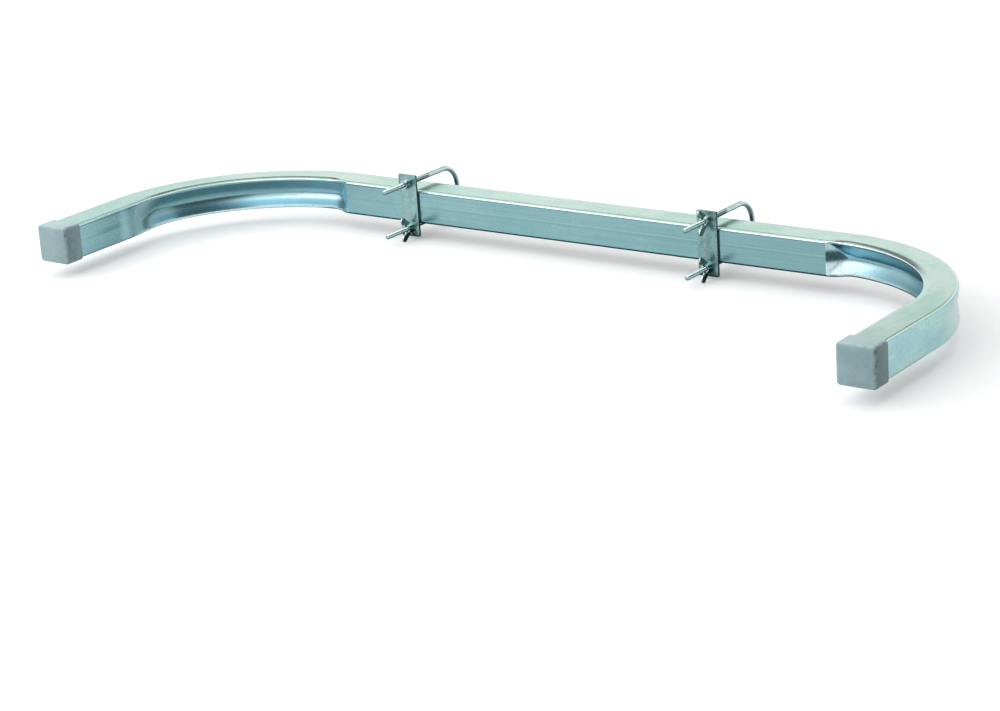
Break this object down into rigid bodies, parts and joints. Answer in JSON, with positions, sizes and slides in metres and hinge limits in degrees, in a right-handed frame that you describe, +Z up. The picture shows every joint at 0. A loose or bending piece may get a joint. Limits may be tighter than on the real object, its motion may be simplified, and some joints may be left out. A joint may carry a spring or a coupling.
{
  "type": "ladder standoff",
  "caption": "Wide U of crush-bent square tube with plastic end caps, clamped to two ladder rungs by U-bolts, flat plates and wing nuts to hold the ladder off a wall.",
  "frame": {"origin": "middle of the straight tube's back face, where the ladder's stiles bear", "axes": "+X along the tube to the right seen from the wall, +Y toward the ladder, +Z up"},
  "size_m": [1.0838, 0.393, 0.082],
  "materials": {
    "tube_zinc": "bright zinc plate, faint drawing lines",
    "plate_zinc": "bright zinc plate, glossy",
    "rod_zinc": "bright zinc plate, glossy",
    "nut_zinc": "bright zinc plate on a cast surface",
    "cap_plastic": "satin moulded grey, lightly scuffed"
  },
  "bodies": {
    "frame": {"tube": "tube_zinc", "end_cap_left": "cap_plastic", "end_cap_right": "cap_plastic"},
    "clamp_left": {"clamp_plate_left": "plate_zinc"},
    "clamp_right": {"clamp_plate_right": "plate_zinc"},
    "u_bolt_left": {"u_bolt_left": "rod_zinc"},
    "u_bolt_right": {"u_bolt_right": "rod_zinc"},
    "nut_left_upper": {"wing_nut_left_upper": "nut_zinc"},
    "nut_left_lower": {"wing_nut_left_lower": "nut_zinc"},
    "nut_right_upper": {"wing_nut_right_upper": "nut_zinc"},
    "nut_right_lower": {"wing_nut_right_lower": "nut_zinc"}
  },
  "joints": [
    {"name": "clamp_left_slide", "type": "slide", "parent": "frame", "child": "clamp_left", "axis": [1, 0, 0], "range_m": [-0.085, 0.175]},
    {"name": "nut_left_upper_turn", "type": "hinge", "parent": "clamp_left", "child": "nut_left_upper", "pos_m": [-0.229, -0.043, 0.028], "axis": [0, -1, 0], "range_deg": [-11520, 12600]},
    {"name": "nut_left_lower_turn", "type": "hinge", "parent": "clamp_left", "child": "nut_left_lower", "pos_m": [-0.229, -0.043, -0.025], "axis": [0, -1, 0], "range_deg": [-11520, 12600]},
    {"name": "u_bolt_left_draw", "type": "slide", "parent": "clamp_left", "child": "u_bolt_left", "axis": [0, 1, 0], "range_m": [-0.033, 0.036]},
    {"name": "clamp_right_slide", "type": "slide", "parent": "frame", "child": "clamp_right", "axis": [1, 0, 0], "range_m": [-0.135, 0.135]},
    {"name": "nut_right_upper_turn", "type": "hinge", "parent": "clamp_right", "child": "nut_right_upper", "pos_m": [0.178, -0.043, 0.028], "axis": [0, -1, 0], "range_deg": [-11520, 12600]},
    {"name": "nut_right_lower_turn", "type": "hinge", "parent": "clamp_right", "child": "nut_right_lower", "pos_m": [0.178, -0.043, -0.025], "axis": [0, -1, 0], "range_deg": [-11520, 12600]},
    {"name": "u_bolt_right_draw", "type": "slide", "parent": "clamp_right", "child": "u_bolt_right", "axis": [0, 1, 0], "range_m": [-0.033, 0.036]}
  ],
  "couplings": [
    {"joint": "nut_left_lower_turn", "follows": "nut_left_upper_turn", "ratio": 1},
    {"joint": "u_bolt_left_draw", "follows": "nut_left_upper_turn", "m_per_rad": 0.00015915},
    {"joint": "nut_right_lower_turn", "follows": "nut_right_upper_turn", "ratio": 1},
    {"joint": "u_bolt_right_draw", "follows": "nut_right_upper_turn", "m_per_rad": 0.00015915}
  ]
}
